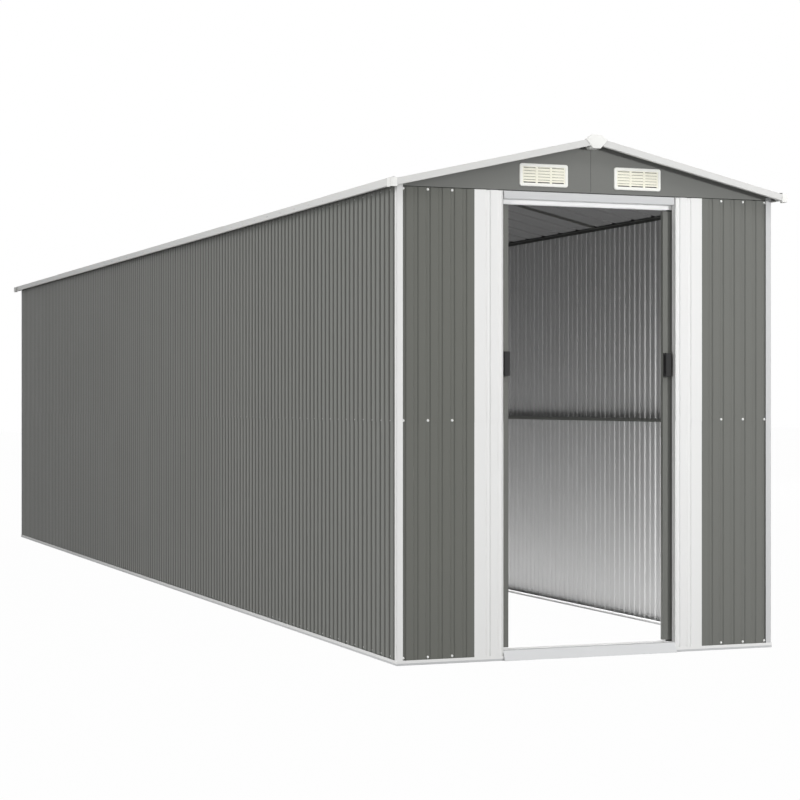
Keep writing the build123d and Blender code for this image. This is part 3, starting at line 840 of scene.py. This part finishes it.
# Eave trims, in lengths that lap a little over one another
def eave_trims():
    parts = []
    low, high = eave_low_corner.z, eave_high_corner.z
    joints = [eave_low_corner.y] + [v - half_length for v in EAVE_JOINTS] + [eave_high_corner.y]
    for side in (-1, 1):
        for i, (start, end) in enumerate(zip(joints, joints[1:])):
            inset = 0.7 * MM if i % 2 else 0.0
            lap = 12 * MM if i % 2 else 0.0
            line = rounded(
                [
                    (EAVE_FLANGE, low + inset),
                    (inset, low + inset),
                    (inset, low + EAVE_LIP),
                    (inset + 0.9 * MM, low + EAVE_LIP + 1.5 * MM),
                    (inset + 0.9 * MM, high - inset),
                    (EAVE_FLANGE, high - inset),
                ],
                1.6 * MM,
            )

            def place(inward, height, along):
                return (side * (roof_half - inward), along, height)

            low_end = max(start - lap, eave_low_corner.y)
            high_end = min(end + lap, eave_high_corner.y)
            parts.append(swept(line, -0.6 * MM, place, low_end, high_end))
    return piece("eave_edge_trims", parts, [trim_paint], "shed", ["eave_trims"])


eave_trims()


# Corner caps: moulded boxes, proud of the eave trims
def corner_caps():
    low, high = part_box("corner_caps")
    front, deep, proud = CAP_FRONT, CAP_SIDE, high.x - roof_half
    outline = [(0.5 * MM, 0.5 * MM), (front, 0.5 * MM), (front, 1.5 * MM), (proud, 1.5 * MM)]
    outline += [(proud, deep - 0.5 * MM), (0.5 * MM, deep - 0.5 * MM)]
    parts = []
    for side in (-1, 1):
        for end in (-1, 1):

            def place(across, back, height):
                return (side * (high.x - across), end * (high.y - back), height)

            line = [(front, 0.0), (0.0, 0.0), (0.0, deep), (proud, deep)]
            parts.append(swept(line, -CAP_WALL, place, low.z, high.z))
            parts.append(prism(outline, place, high.z - 1.8 * MM, high.z - 0.3 * MM))
    return piece(
        "moulded_corner_caps", parts, [cap_plastic], "shed", ["corner_caps"],
        bevel=0.3 * MM,
    )


corner_caps()
softened("moulded_peak_caps", "peak_caps", cap_plastic, "shed", 1.0 * MM)
softened("folded_ridge_cap", "ridge_cap", roof_paint, "shed", 0.5 * MM)


# Doors: a folded frame with a ribbed sheet behind it, and a moulded handle
def door(side_name, body, mirror):
    node = f"door_{side_name}_sheet"
    low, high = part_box(node)

    def place(along, depth, height):
        return (mirror * along, low.y + depth, height)

    start, end = (low.x, high.x) if mirror > 0 else (-high.x, -low.x)
    first = start - SECTION + VALLEY_PITCH / 2
    line = rounded(valleys(start, end, first, high.y - low.y - SHEET, LONG_WALL_FLOOR), SHEET_BEND)
    parts = [swept(line, SHEET, place, low.z, high.z, (0, 1))]
    piece(
        f"{side_name}_door_sheet", parts, [grey_paint, backing_coat], body, [node]
    )
    softened(
        f"{side_name}_door_frame", f"door_{side_name}_frame", grey_paint, body,
        0.4 * MM,
    )
    softened(
        f"{side_name}_door_handle", f"door_{side_name}_handle", handle_plastic, body,
        1.4 * MM,
    )


door("left", "left_door", 1)
door("right", "right_door", -1)

# CAD nodes that keep their own shape
PAINTED = {
    # The door track takes the brighter copy of the white: painted light
    "door_track": painted_light_white,
    "floor_track": white_paint,
    # The gables take the lighter copy of the grey, as painted light
    "gable_front": gable_grey_painted_light,
    "gable_back": gable_grey_painted_light,
    "mid_rails": rail_paint,
    # The top rails take the near-black, as painted shade for the line under the gables
    "top_rails": near_black_painted_shade,
    "ridge_beam": roof_paint,
    "rafters": rail_paint,
    "door_left_sliders": runner_plastic,
    "door_right_sliders": runner_plastic,
}
for node, paint in PAINTED.items():
    slots = nodes[node].data.materials
    slots.clear()
    slots.append(paint)


# Floor, backdrop and light
def studio_floor():
    mesh = bpy.data.meshes.new("studio_floor")
    size = 60.0
    mesh.from_pydata(
        [(-size, -size, 0), (size, -size, 0), (size, size, 0), (-size, size, 0)], [], [(0, 1, 2, 3)]
    )
    floor = bpy.data.objects.new("studio_floor", mesh)
    bpy.context.scene.collection.objects.link(floor)
    floor.location.z = -0.0005
    # Matt studio floor: white to the camera with a trace of shadow, mid grey to other light
    made = material("matt_studio_floor")
    tree = made.node_tree
    matt = add(tree, "ShaderNodeBsdfDiffuse", {"Color": linear("#959595")}, {})
    glow = add(tree, "ShaderNodeEmission", {"Color": (1, 1, 1, 1), "Strength": 1.0}, {})
    pale = add(tree, "ShaderNodeMixShader", {0: 0.985}, {1: matt.outputs[0], 2: glow.outputs[0]})
    rays = add(tree, "ShaderNodeLightPath", {}, {})
    seen = add(
        tree, "ShaderNodeMath", {"operation": "MAXIMUM"},
        {0: rays.outputs["Is Camera Ray"], 1: rays.outputs["Is Glossy Ray"]},
    )
    mixed = add(
        tree, "ShaderNodeMixShader", {},
        {0: seen.outputs[0], 1: matt.outputs[0], 2: pale.outputs[0]},
    )
    add(tree, "ShaderNodeOutputMaterial", {}, {"Surface": mixed.outputs[0]})
    mesh.materials.append(made)


def studio_world():
    world = bpy.data.worlds.new("studio")
    bpy.context.scene.world = world
    world.use_nodes = True
    tree = world.node_tree
    tree.nodes.clear()
    rays = add(tree, "ShaderNodeLightPath", {}, {})
    seen = add(
        tree, "ShaderNodeMath", {"operation": "MAXIMUM"},
        {0: rays.outputs["Is Camera Ray"], 1: rays.outputs["Is Glossy Ray"]},
    )
    seen = add(
        tree, "ShaderNodeMath", {"operation": "MAXIMUM"},
        {0: seen.outputs[0], 1: rays.outputs["Is Transmission Ray"]},
    )
    soft = add(tree, "ShaderNodeBackground", {"Color": (1, 1, 1, 1), "Strength": 0.33}, {})
    white = add(tree, "ShaderNodeBackground", {"Color": (1, 1, 1, 1), "Strength": 1.0}, {})
    mixed = add(
        tree, "ShaderNodeMixShader", {},
        {0: seen.outputs[0], 1: soft.outputs[0], 2: white.outputs[0]},
    )
    add(tree, "ShaderNodeOutputWorld", {}, {"Surface": mixed.outputs[0]})


def hang(light, at, towards):
    made = bpy.data.objects.new(light.name, light)
    bpy.context.scene.collection.objects.link(made)
    made.location = at
    made.rotation_euler = (Vector(towards) - Vector(at)).to_track_quat("-Z", "Y").to_euler()
    made.visible_camera = False
    made.visible_glossy = False


def soft_box(name, at, towards, size, power):
    light = bpy.data.lights.new(name, "AREA")
    light.shape = "RECTANGLE"
    light.size, light.size_y = size
    light.energy = power
    hang(light, at, towards)


def spot(name, at, towards, width, softness, radius, power):
    light = bpy.data.lights.new(name, "SPOT")
    light.spot_size = math.radians(width)
    light.spot_blend = softness
    light.shadow_soft_size = radius
    light.energy = power
    hang(light, at, towards)


studio_floor()
studio_world()
# Places and powers of the lamps are fitted to the photograph's tones
# The main light, 27 degrees right of square to the front, shades the gable's right edge
soft_box("key_light", (2.8, -9.8, 2.3), (0.0, -4.2, 1.0), (0.6, 0.6), 222.0)
# A softer one above it leaves the shade under the roof's edge
soft_box("high_light", (1.5, -9.5, 8.5), (0.0, -4.2, 1.2), (3.0, 3.0), 160.0)
# A fill from the left softens the post's and the caps' outer corners
soft_box("corner_fill", (-9.5, -9.2, 1.2), (-0.9, -4.0, 1.0), (1.5, 1.5), 235.0)
# The left side's main light comes from behind and favours the near end
spot("side_light", (-17.5, 15.8, 12.5), (-0.9, -11.2, 1.1), 29.0, 1.0, 5.0, 45500.0)
# A second one from behind fills the far end
soft_box("far_side_light", (-8.0, 9.0, 4.5), (-0.9, 3.0, 1.2), (3.0, 2.0), 20.0)
# Panels on the floor inside stand for the light that a white floor throws up
soft_box("floor_glow_right", (0.42, -1.5, 0.004), (0.42, -1.5, 1.0), (0.84, 5.2), 44.0)
soft_box("floor_glow_left", (-0.42, -1.5, 0.004), (-0.42, -1.5, 1.0), (0.84, 5.2), 4.0)
# Daylight that comes in through the doorway and grazes the right wall
soft_box("doorway_graze", (0.78, -4.1, 0.8), (0.82, 0.0, 0.7), (0.12, 1.3), 25.0)
# A light from behind for the sides that the photograph doesn't show
soft_box("rear_light", (10.0, 12.0, 7.0), (0.5, 0.5, 1.2), (4.0, 4.0), 1900.0)

# Camera, at the photograph's place
camera_data = bpy.data.cameras.new("camera")
camera = bpy.data.objects.new("camera", camera_data)
bpy.context.scene.collection.objects.link(camera)
camera.location = (-3.8435, -11.937, 1.0897)
camera.rotation_euler = (math.radians(90), 0.0, math.radians(-21.05))
camera_data.sensor_width = 36.0
camera_data.lens = 90.45
camera_data.shift_x = -0.0006
camera_data.shift_y = 0.0015
bpy.context.scene.camera = camera
bpy.context.scene.view_settings.view_transform = "Standard"
